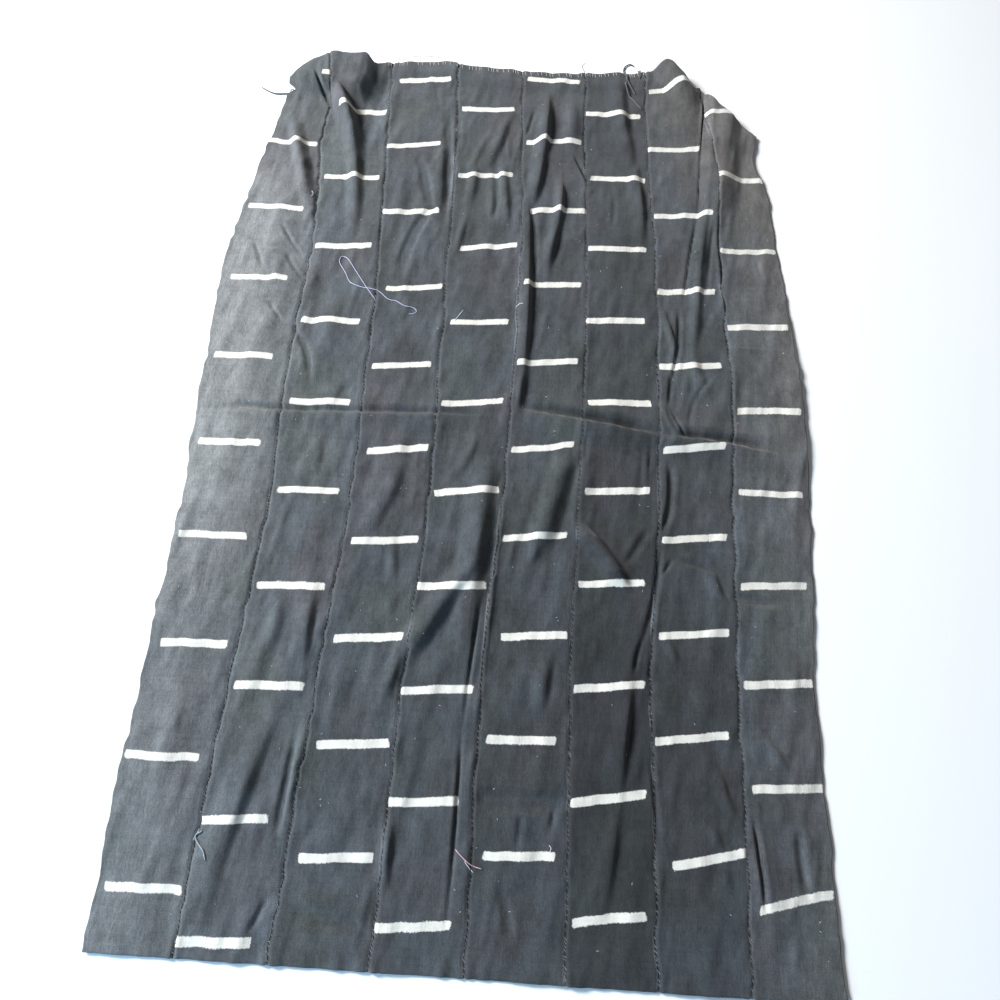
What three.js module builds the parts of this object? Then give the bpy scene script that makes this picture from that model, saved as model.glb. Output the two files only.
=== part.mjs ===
// Mud cloth of eight hand-woven cotton strips sewn edge to edge, lying face up.
// Millimetres, +Z up, +X across the strips, the hemmed top edge towards +Y.
import * as THREE from 'three';

const CLOTH_THICKNESS = 1.5;
const CLOTH_LENGTH = 1590;
const SEAM_GAP = 0.3;
const HEM_LIFT = 3.2;
const LIFT_FADE = 34;
const LIFT_REACH = 12;
const SLOPE_STEP = 2;
const CHARCOAL = 0x3a3c40;
const CLOTH_ROUGHNESS = 0.95;

// Strips from left to right, with the number of mesh cells across each.
const STRIPS = [
  { name: 'strip_a', cells: 8 },
  { name: 'strip_b', cells: 8 },
  { name: 'strip_c', cells: 6 },
  { name: 'strip_d', cells: 7 },
  { name: 'strip_e', cells: 7 },
  { name: 'strip_f', cells: 6 },
  { name: 'strip_g', cells: 8 },
  { name: 'strip_h', cells: 7 },
];

// Distances down from the top edge at which LINES gives the across positions.
const STATIONS = [0, 100, 250, 450, 700, 950, 1200, 1590];

// Selvedges and seams, one row each, from the left selvedge to the right one.
const LINES = [
  [-476, -477, -498, -527, -525, -515, -518, -518],
  [-425, -402, -386, -374, -380, -371, -383, -396],
  [-272, -267, -259, -247, -242, -241, -253, -267],
  [-138, -131, -123, -121, -116, -112, -124, -130],
  [-6, -1, 6, 14, 13, 6, -7, -4],
  [122, 123, 127, 134, 136, 130, 126, 130],
  [243, 244, 249, 260, 263, 260, 247, 252],
  [360, 365, 376, 377, 388, 380, 377, 375],
  [462, 457, 470, 488, 506, 504, 490, 500],
];

// Fold line along the top: where it lies, and how deep the cloth turned under it reaches.
const TOP_FOLD = [
  { across: -476, down: 63, under: 12 },
  { across: -440, down: 34, under: 34 },
  { across: -408, down: 8, under: 12 },
  { across: -364, down: 3, under: 9 },
  { across: -298, down: -3, under: 9 },
  { across: -157, down: -10, under: 9 },
  { across: -130, down: 0, under: 9 },
  { across: 63, down: 4, under: 9 },
  { across: 215, down: -4, under: 9 },
  { across: 264, down: -16, under: 9 },
  { across: 306, down: 0, under: 9 },
  { across: 344, down: 25, under: 30 },
  { across: 392, down: 70, under: 66 },
  { across: 430, down: 107, under: 40 },
  { across: 462, down: 145, under: 12 },
];

// Round patches over the turned-under corners, where two layers lie on each other.
const CORNER_PATCHES = [
  { across: -428, down: 45, reach: 34 },
  { across: 372, down: 85, reach: 78 },
];

// Folds that run down the cloth: ends, path, crest height and the width of each flank.
const DOWN_FOLDS = [
  { name: 'bunch', top: -150, foot: 430, path: [-372, -334, -303], height: 27, peak: 0.3, left: 42, right: 34 },
  { name: 'corner roll', top: -160, foot: 150, path: [-466, -452, -446], height: 17, peak: 0.5, left: 28, right: 34 },
  { name: 'left ridge', top: 60, foot: 440, path: [-452, -440, -398], height: 9, peak: 0.35, left: 30, right: 28 },
  { name: 'right bump', top: -150, foot: 170, path: [280, 288, 296], height: 27, peak: 0.42, left: 38, right: 60 },
  { name: 'pleat', top: 40, foot: 760, path: [364, 342, 300], height: 18, peak: 0.29, left: 18, right: 52 },
  { name: 'sixth top', top: -40, foot: 300, path: [192, 200, 232], height: 9, peak: 0.4, left: 30, right: 26 },
  { name: 'fifth top', top: 40, foot: 250, path: [52, 55, 50], height: 8, peak: 0.5, left: 24, right: 18 },
  { name: 'fifth middle', top: 260, foot: 540, path: [92, 62, 54], height: 8, peak: 0.5, left: 20, right: 18 },
  { name: 'fifth right', top: 150, foot: 380, path: [110, 92, 84], height: 5, peak: 0.5, left: 18, right: 24 },
  { name: 'middle seam', top: 200, foot: 800, path: [8, 14, 18], height: 6, peak: 0.45, left: 28, right: 18 },
  { name: 'fourth short', top: 150, foot: 460, path: [-40, -40, -37], height: 5, peak: 0.5, left: 18, right: 18 },
  { name: 'fourth slant', top: 40, foot: 320, path: [-38, -62, -85], height: 4, peak: 0.5, left: 22, right: 18 },
  { name: 'third short', top: 170, foot: 400, path: [-154, -146, -142], height: 4, peak: 0.5, left: 24, right: 18 },
  { name: 'left slant', top: 400, foot: 640, path: [-452, -428, -410], height: 4, peak: 0.4, left: 30, right: 22 },
  { name: 'pucker', top: 670, foot: 820, path: [246, 278, 312], height: 4, peak: 0.6, left: 22, right: 18 },
  { name: 'second slant', top: 520, foot: 760, path: [-310, -318, -326], height: 3, peak: 0.5, left: 30, right: 30 },
  { name: 'seam lower', top: 860, foot: 1200, path: [16, 2, -8], height: 5, peak: 0.5, left: 20, right: 26 },
  { name: 'fourth upper slant', top: 795, foot: 950, path: [-40, -56, -74], height: 3, peak: 0.5, left: 20, right: 18 },
  { name: 'third slant', top: 890, foot: 1060, path: [-136, -154, -170], height: 3, peak: 0.5, left: 22, right: 20 },
  { name: 'fifth slant', top: 820, foot: 1000, path: [120, 98, 74], height: 3, peak: 0.5, left: 22, right: 20 },
  { name: 'fourth lower slant', top: 1040, foot: 1230, path: [-22, -68, -116], height: 3, peak: 0.5, left: 24, right: 20 },
  { name: 'sixth long', top: 980, foot: 1400, path: [246, 214, 190], height: 4.5, peak: 0.45, left: 28, right: 18 },
  { name: 'fourth long', top: 1230, foot: 1720, path: [-16, -18, -22], height: 4.5, peak: 0.5, left: 18, right: 28 },
  { name: 'second long', top: 1160, foot: 1660, path: [-276, -336, -382], height: 6.5, peak: 0.45, left: 32, right: 18 },
  { name: 'second foot', top: 1260, foot: 1500, path: [-256, -276, -294], height: 4, peak: 0.5, left: 24, right: 18 },
  { name: 'left foot', top: 1100, foot: 1480, path: [-446, -452, -462], height: 4, peak: 0.5, left: 34, right: 34 },
  { name: 'seventh foot', top: 1280, foot: 1440, path: [336, 352, 368], height: 3, peak: 0.5, left: 22, right: 20 },
  { name: 'eighth foot', top: 1320, foot: 1530, path: [388, 398, 408], height: 4, peak: 0.5, left: 20, right: 26 },
];

// Folds that run across the cloth: ends, path, crest height and the width of each flank.
const CROSS_FOLDS = [
  { name: 'old crease left', from: -640, to: 200, path: [790, 781, 764], height: 2.2, peak: 0.5, above: 16, below: 20 },
  { name: 'old crease right', from: -40, to: 640, path: [762, 786, 834], height: 3, peak: 0.5, above: 16, below: 20 },
  { name: 'right crease', from: 380, to: 560, path: [627, 622, 617], height: 1.5, peak: 0.5, above: 18, below: 18 },
  { name: 'sixth cross', from: 160, to: 250, path: [985, 1018, 1050], height: 2.5, peak: 0.5, above: 20, below: 20 },
];

// Mesh rows down the main part of the cloth: a band per row, with its end and its number of rows.
const ROW_BANDS = [
  { to: 300, rows: 10 },
  { to: 740, rows: 10 },
  { to: 830, rows: 5 },
  { to: CLOTH_LENGTH, rows: 17 },
];

const CREASE_BAND = { down: 782, reach: 220 };
const UNDER_SHARES = [1, 0.5, 0];

const halfCosine = (q) => (Math.abs(q) < 1 ? 0.5 + 0.5 * Math.cos(Math.PI * q) : 0);
const mix = (a, b, share) => a + (b - a) * share;

// Smooth curve through evenly or unevenly spaced stations.
function throughStations(stations, values, at) {
  const last = stations.length - 1;
  let i = 0;
  while (i < last - 1 && at > stations[i + 1]) i += 1;
  const slope = (k) => {
    const before = Math.max(k - 1, 0);
    const after = Math.min(k + 1, last);
    return (values[after] - values[before]) / (stations[after] - stations[before]);
  };
  const span = stations[i + 1] - stations[i];
  const u = Math.min(Math.max((at - stations[i]) / span, 0), 1);
  const rest = 1 - u;
  return values[i] * (1 + 2 * u) * rest * rest
    + values[i + 1] * u * u * (3 - 2 * u)
    + slope(i) * span * u * rest * rest
    - slope(i + 1) * span * u * u * rest;
}

// Parabola through a path's start, middle and end.
function along(path, share) {
  const [start, middle, end] = path;
  const bow = 4 * (middle - (start + end) / 2);
  return mix(start, end, share) + bow * share * (1 - share);
}

function crest(fold, share) {
  const side = share < fold.peak ? fold.peak : 1 - fold.peak;
  return fold.height * halfCosine((share - fold.peak) / side);
}

function downFoldHeight(fold, across, down) {
  const share = (down - fold.top) / (fold.foot - fold.top);
  if (share <= 0 || share >= 1) return 0;
  const offset = across - along(fold.path, share);
  return crest(fold, share) * halfCosine(offset / (offset < 0 ? fold.left : fold.right));
}

function crossFoldHeight(fold, across, down) {
  const share = (across - fold.from) / (fold.to - fold.from);
  if (share <= 0 || share >= 1) return 0;
  const offset = down - along(fold.path, share);
  return crest(fold, share) * halfCosine(offset / (offset < 0 ? fold.above : fold.below));
}

// Height of the folds above the resting cloth.
function relief(across, down) {
  let height = 0;
  for (const fold of DOWN_FOLDS) height += downFoldHeight(fold, across, down);
  for (const fold of CROSS_FOLDS) height += crossFoldHeight(fold, across, down);
  return height;
}

// Vertical distance that a unit thickness takes up on the slope of the folds.
function steepness(across, down) {
  const here = relief(across, down);
  const acrossRise = (relief(across + SLOPE_STEP, down) - here) / SLOPE_STEP;
  const downRise = (relief(across, down + SLOPE_STEP) - here) / SLOPE_STEP;
  return Math.hypot(1, acrossRise, downRise);
}

// Value of one column of the top fold's table at an across position.
function topFold(column, across) {
  const last = TOP_FOLD.length - 1;
  let i = 0;
  while (i < last - 1 && across > TOP_FOLD[i + 1].across) i += 1;
  const [a, b] = [TOP_FOLD[i], TOP_FOLD[i + 1]];
  const share = Math.min(Math.max((across - a.across) / (b.across - a.across), 0), 1);
  return mix(a[column], b[column], share);
}

// Across position of a place on the sheet, counted in strips from the left selvedge.
function acrossAt(place, down) {
  const k = Math.min(Math.floor(place), STRIPS.length - 1);
  const left = throughStations(STATIONS, LINES[k], down);
  const right = throughStations(STATIONS, LINES[k + 1], down);
  return mix(left, right, place - k);
}

// The upper layer is lifted where the cloth turned under the top lies below it.
function layerLift(across, down) {
  let beyond = down - topFold('down', across) - topFold('under', across) - LIFT_REACH;
  for (const patch of CORNER_PATCHES) {
    const distance = Math.hypot(across - patch.across, down - patch.down) - patch.reach;
    beyond = Math.min(beyond, distance);
  }
  const share = beyond > 0 ? halfCosine(beyond / LIFT_FADE) : 1;
  return HEM_LIFT * share * steepness(across, down);
}

function mainPoint(place, down) {
  const across = acrossAt(place, down);
  const height = CLOTH_THICKNESS / 2 + relief(across, down) + layerLift(across, down);
  return new THREE.Vector3(across, -down, height);
}

// Middle of the turned-under layer, at a share of its depth from the fold line.
function underPoint(place, share) {
  const edge = acrossAt(place, 0);
  const down = topFold('down', edge);
  const slope = (topFold('down', edge + SLOPE_STEP) - topFold('down', edge - SLOPE_STEP)) / (2 * SLOPE_STEP);
  const depth = share * topFold('under', edge);
  const scale = depth / Math.hypot(1, slope);
  const across = acrossAt(place, down) - slope * scale;
  const under = down + scale;
  return new THREE.Vector3(across, -under, CLOTH_THICKNESS / 2 + relief(across, under));
}

// Outermost line of the bend between the two layers.
function bendPoint(place) {
  const edge = acrossAt(place, 0);
  const down = topFold('down', edge);
  const across = acrossAt(place, down);
  const outside = down - HEM_LIFT / 2;
  const height = CLOTH_THICKNESS / 2 + relief(across, down) + layerLift(across, down) / 2;
  return new THREE.Vector3(across, -outside, height);
}

function rowDistances() {
  const distances = [];
  let from = 0;
  for (const band of ROW_BANDS) {
    for (let i = 0; i < band.rows; i += 1) distances.push(mix(from, band.to, i / band.rows));
    from = band.to;
  }
  distances.push(CLOTH_LENGTH);
  return distances;
}

// Rows start at the top fold line and follow the old storage crease.
function rowDown(place, distance) {
  const edge = acrossAt(place, 0);
  const start = topFold('down', edge);
  const opening = distance + start * Math.max(1 - distance / ROW_BANDS[0].to, 0);
  const fold = CROSS_FOLDS[edge < 80 ? 0 : 1];
  const share = (edge - fold.from) / (fold.to - fold.from);
  const drift = along(fold.path, share) - CREASE_BAND.down;
  return opening + drift * halfCosine((distance - CREASE_BAND.down) / CREASE_BAND.reach);
}

// Middle line of the sheet from the end of the turned-under layer to the foot.
function sheetColumn(place, distances) {
  const column = UNDER_SHARES.map((share) => underPoint(place, share));
  column.push(bendPoint(place));
  for (const distance of distances) column.push(mainPoint(place, rowDown(place, distance)));
  return column;
}

function columnNormals(place, distances) {
  const nudge = 0.04;
  const before = sheetColumn(Math.max(place - nudge, 0), distances);
  const after = sheetColumn(Math.min(place + nudge, STRIPS.length), distances);
  const here = sheetColumn(place, distances);
  return here.map((point, row) => {
    const across = new THREE.Vector3().subVectors(after[row], before[row]);
    const next = here[Math.min(row + 1, here.length - 1)];
    const last = here[Math.max(row - 1, 0)];
    const downwards = new THREE.Vector3().subVectors(next, last);
    return new THREE.Vector3().crossVectors(downwards, across).normalize();
  });
}

// One strip as a closed sheet: face points, back points and the edges between them.
function stripGeometry(index, cells) {
  const distances = rowDistances();
  const face = [];
  const back = [];
  for (let c = 0; c <= cells; c += 1) {
    const place = index + c / cells;
    const middle = sheetColumn(place, distances);
    const normals = columnNormals(place, distances);
    const inset = mix(SEAM_GAP / 2, -SEAM_GAP / 2, c / cells);
    middle.forEach((point) => point.setX(point.x + inset));
    const half = CLOTH_THICKNESS / 2;
    face.push(middle.map((point, row) => point.clone().addScaledVector(normals[row], half)));
    back.push(middle.map((point, row) => point.clone().addScaledVector(normals[row], -half)));
  }
  return closedSheet(face, back);
}

function closedSheet(face, back) {
  const columns = face.length;
  const rows = face[0].length;
  const layer = columns * rows;
  const points = [...face.flat(), ...back.flat()];
  const at = (column, row) => column * rows + row;
  const triangles = [];
  const quad = (a, b, c, d) => triangles.push(a, b, c, a, c, d);
  for (let c = 0; c < columns - 1; c += 1) {
    for (let r = 0; r < rows - 1; r += 1) {
      const [a, b, d, e] = [at(c, r), at(c, r + 1), at(c + 1, r + 1), at(c + 1, r)];
      quad(a, b, d, e);
      quad(a + layer, e + layer, d + layer, b + layer);
    }
  }
  const edge = (a, b) => quad(a, a + layer, b + layer, b);
  const facingEdge = (a, b) => quad(b, a, a + layer, b + layer);
  for (let r = 0; r < rows - 1; r += 1) {
    facingEdge(at(0, r), at(0, r + 1));
    edge(at(columns - 1, r + 1), at(columns - 1, r));
  }
  for (let c = 0; c < columns - 1; c += 1) {
    edge(at(c, rows - 1), at(c + 1, rows - 1));
    edge(at(c + 1, 0), at(c, 0));
  }
  const geometry = new THREE.BufferGeometry();
  geometry.setAttribute('position', new THREE.Float32BufferAttribute(points.flatMap((p) => p.toArray()), 3));
  geometry.setIndex(triangles);
  geometry.computeVertexNormals();
  return geometry;
}

function charcoalCotton() {
  return new THREE.MeshStandardMaterial({ color: CHARCOAL, roughness: CLOTH_ROUGHNESS });
}

function strip({ name, cells }, index) {
  const mesh = new THREE.Mesh(stripGeometry(index, cells), charcoalCotton());
  mesh.name = name;
  return mesh;
}

// Puts the middle of the cloth's outline over the origin, with its underside on the ground.
function centre(group) {
  const box = new THREE.Box3().setFromObject(group);
  const middle = box.getCenter(new THREE.Vector3());
  for (const mesh of group.children) mesh.geometry.translate(-middle.x, -middle.y, -box.min.z);
}

const cloth = new THREE.Group();
STRIPS.forEach((row, index) => cloth.add(strip(row, index)));
centre(cloth);

export default cloth;
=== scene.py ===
import math
import bpy
import numpy as np
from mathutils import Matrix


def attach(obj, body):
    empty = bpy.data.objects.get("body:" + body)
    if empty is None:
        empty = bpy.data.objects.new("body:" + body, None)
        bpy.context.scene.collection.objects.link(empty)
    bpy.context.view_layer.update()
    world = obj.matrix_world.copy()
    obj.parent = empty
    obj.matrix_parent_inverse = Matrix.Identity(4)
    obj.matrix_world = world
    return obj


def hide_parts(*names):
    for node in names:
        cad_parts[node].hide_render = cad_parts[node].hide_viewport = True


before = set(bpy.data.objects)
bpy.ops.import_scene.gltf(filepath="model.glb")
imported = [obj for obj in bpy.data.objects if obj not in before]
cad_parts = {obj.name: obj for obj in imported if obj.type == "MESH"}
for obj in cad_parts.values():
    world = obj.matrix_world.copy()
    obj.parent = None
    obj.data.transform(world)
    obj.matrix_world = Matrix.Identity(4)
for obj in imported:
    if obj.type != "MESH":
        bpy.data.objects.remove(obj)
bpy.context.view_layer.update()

mm = 0.001

# Camera and room

cameraSettings = {
    "lens": 24.26, "sensor": 36.0, "nearest": 0.02,
    "place": (0.0343, -0.4684, 1.0469), "tiltUp": 17.72, "turn": 3.45,
}
roomSettings = {
    "floorSize": 9.0, "floorDrop": 0.0006, "floorColor": (0.86, 0.86, 0.86), "floorRough": 0.9,
    "skyColor": (0.92, 0.96, 1.0), "skyStrength": 0.15, "aimAt": (0.0, 0.1, 0.0),
}
# Each lamp: place, size, power in watts and colour. The window is the main light, from the upper left.
lamps = {
    "window": ((-3.1, 1.55, 2.3), (1.3, 1.3), 410.0, (0.97, 0.985, 1.0)),
    "fill": ((1.8, -1.8, 2.4), (2.0, 2.0), 4.0, (1.0, 0.95, 0.88)),
    "cool": ((-1.5, -2.3, 1.1), (1.0, 1.0), 60.0, (0.36, 0.68, 1.0)),
}


def aimedAt(place, target):
    # rotation of a lamp at a place that faces the target
    direction = np.array(target, float) - np.array(place, float)
    flat = math.hypot(direction[0], direction[1])
    return (math.atan2(flat, -direction[2]), 0.0, math.atan2(-direction[0], direction[1]))


def makeCamera(settings):
    lensData = bpy.data.cameras.new("clothCamera")
    lensData.lens = settings["lens"]
    lensData.sensor_width = settings["sensor"]
    lensData.clip_start = settings["nearest"]
    camera = bpy.data.objects.new("clothCamera", lensData)
    camera.location = settings["place"]
    camera.rotation_euler = (math.radians(settings["tiltUp"]), 0.0, math.radians(settings["turn"]))
    bpy.context.scene.collection.objects.link(camera)
    bpy.context.scene.camera = camera


def makeLamp(name, target):
    place, size, power, color = lamps[name]
    lamp = bpy.data.lights.new(name, "AREA")
    lamp.shape = "RECTANGLE"
    lamp.size, lamp.size_y = size
    lamp.energy = power
    lamp.color = color
    shown = bpy.data.objects.new(name, lamp)
    shown.location = place
    shown.rotation_euler = aimedAt(place, target)
    bpy.context.scene.collection.objects.link(shown)


class Wire:
    # One socket of a material; arithmetic on it adds Math nodes.
    def __init__(self, tree, socket=None):
        self.tree = tree
        self.socket = socket

    def node(self, kind, settings=None, inputs=None, output=0):
        made = self.tree.nodes.new(kind)
        for name, value in (settings or {}).items():
            setattr(made, name, value)
        for name, value in (inputs or {}).items():
            if isinstance(value, Wire):
                self.tree.links.new(value.socket, made.inputs[name])
            else:
                made.inputs[name].default_value = value
        return Wire(self.tree, made.outputs[output])

    def output(self, number):
        return Wire(self.tree, self.socket.node.outputs[number])

    def math(self, operation, first, second=0.0):
        return self.node("ShaderNodeMath", {"operation": operation}, {0: first, 1: second})

    def __add__(self, other):
        return self.math("ADD", self, other)

    def __radd__(self, other):
        return self.math("ADD", other, self)

    def __sub__(self, other):
        return self.math("SUBTRACT", self, other)

    def __rsub__(self, other):
        return self.math("SUBTRACT", other, self)

    def __mul__(self, other):
        return self.math("MULTIPLY", self, other)

    def __rmul__(self, other):
        return self.math("MULTIPLY", other, self)

    def soft(self, low, high):
        # 0 below low, 1 above high, smooth between
        return self.node("ShaderNodeMapRange", {"interpolation_type": "SMOOTHSTEP"},
                         {0: self, 1: low, 2: high, 3: 0.0, 4: 1.0})

    def wave(self):
        return self.math("SINE", self)

    def mixed(self, first, second):
        # a colour between first and second, with this socket as the share of second
        return self.node("ShaderNodeMix", {"data_type": "RGBA"}, {0: self, 6: first, 7: second}, output=2)


def startMaterial(name):
    material = bpy.data.materials.new(name)
    material.use_nodes = True
    tree = material.node_tree
    tree.nodes.clear()
    return material, Wire(tree)


def endMaterial(wire, constants, linked):
    shader = wire.tree.nodes.new("ShaderNodeBsdfPrincipled")
    for name, value in constants.items():
        shader.inputs[name].default_value = value
    for name, value in linked.items():
        wire.tree.links.new(value.socket, shader.inputs[name])
    out = wire.tree.nodes.new("ShaderNodeOutputMaterial")
    wire.tree.links.new(shader.outputs[0], out.inputs[0])


def makeRoom(settings):
    half = settings["floorSize"] / 2
    mesh = bpy.data.meshes.new("floor")
    low = -settings["floorDrop"]
    corners = [(-half, -half, low), (half, -half, low), (half, half, low), (-half, half, low)]
    mesh.from_pydata(corners, [], [(0, 1, 2, 3)])
    floor = bpy.data.objects.new("floor", mesh)
    bpy.context.scene.collection.objects.link(floor)
    material, wire = startMaterial("paleFloor")
    endMaterial(wire, {"Base Color": (*settings["floorColor"], 1.0), "Roughness": settings["floorRough"]}, {})
    mesh.materials.append(material)
    world = bpy.data.worlds.new("softRoom")
    world.use_nodes = True
    sky = world.node_tree.nodes["Background"]
    sky.inputs[0].default_value = (*settings["skyColor"], 1.0)
    sky.inputs[1].default_value = settings["skyStrength"]
    bpy.context.scene.world = world
    for name in lamps:
        makeLamp(name, settings["aimAt"])


makeCamera(cameraSettings)
makeRoom(roomSettings)
bpy.context.scene.view_settings.view_transform = "Standard"
print("camera, light and floor are up")

# The lie of the cloth, in millimetres

sheet = {
    "thickness": 1.5, "shownThickness": 1.2, "length": 1590.0, "gap": 0.3, "hemLift": 3.2,
    "liftFade": 34.0, "liftReach": 12.0, "middle": (-10.94, -786.63), "stripWidth": 127.0, "lowest": 0.62,
    "columns": 52, "rowStep": 3.8, "seamFine": 0.4, "underRows": 8, "bendRows": 5,
    "slopeStep": 2.0, "openingReach": 300.0, "creaseSlant": 0.18,
    "seamDip": 2.2, "seamWidth": 4.5, "pucker": 2.0, "puckerFrom": 4.0, "puckerWidth": 13.0,
    "puckerPitch": 7.0, "puckerRun": 60.0,
    "wander": 2.4, "wanderPitch": 45.0, "smallWander": 2.1, "smallWanderPitch": 16.0,
}
stripNames = ["strip_a", "strip_b", "strip_c", "strip_d", "strip_e", "strip_f", "strip_g", "strip_h"]
stripCount = len(stripNames)
# Start of each kind of random draw or noise.
seeds = {
    "creases": 40, "wander": 71, "smallWander": 72, "pucker": 73, "puckerRun": 74, "dashWave": 75,
    "dashes": 500, "seams": 900, "hem": 950, "lint": 970,
}

# Where each selvedge and seam lies across, at distances down from the top edge.
stations = [0, 100, 250, 450, 700, 950, 1200, 1590]
lines = [
    [-476, -477, -498, -527, -525, -515, -518, -518],
    [-425, -402, -386, -374, -380, -371, -383, -396],
    [-272, -267, -259, -247, -242, -241, -253, -267],
    [-138, -131, -123, -121, -116, -112, -124, -130],
    [-6, -1, 6, 14, 13, 6, -7, -4],
    [122, 123, 127, 134, 136, 130, 126, 130],
    [243, 244, 249, 260, 263, 260, 247, 252],
    [360, 365, 376, 377, 388, 380, 377, 375],
    [462, 457, 470, 488, 506, 504, 490, 500],
]

# Fold line along the top: across, down, and how deep the cloth is turned under it.
topFold = np.array([
    (-474, 56, 12), (-451, 40, 30), (-431, 27, 28), (-412, 17, 12), (-394, 10, 9), (-329, 8, 9),
    (-318, 1, 9), (-312, 20, 9), (-304, 16, 9), (-292, 8, 9), (-274, 2, 9), (-157, -5, 9),
    (-130, 5, 9), (63, 9, 9), (104, 11, 9), (122, 3, 9), (160, 6, 9), (215, 0, 9),
    (258, -5, 9), (272, -10, 9), (286, -12, 9), (296, -1, 9), (306, 11, 9), (328, 17, 24),
    (344, 24, 34), (352, 32, 34), (360, 42, 40), (368, 64, 60), (377, 80, 66), (400, 102, 50),
    (416, 112, 40), (432, 120, 30), (440, 128, 24), (454, 144, 16), (462, 149, 12),
], float)
topSoften = 5.0
cornerPatches = [(-428, 45, 34), (372, 85, 78)]

# The hood: the top left corner gathered up over the cloth. Height and lower edge by place across.
hood = {
    "across": [-486, -474, -440, -404, -380, -329, -318, -300, -278],
    "height": [2, 11, 19, 25, 26, 27, 22, 6, 0],
    "edge": [30, 34, 52, 58, 70, 80, 90, 95, 95], "fade": 38.0, "lean": 0.25, "leanFrom": 60.0,
}
# Where a selvedge or seam leaves its line: line, distance down, reach, and shift to the right.
notches = [(0, 80, 14, 12), (8, 214, 75, -17), (1, 40, 170, 26), (7, 70, 170, -7)]

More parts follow.
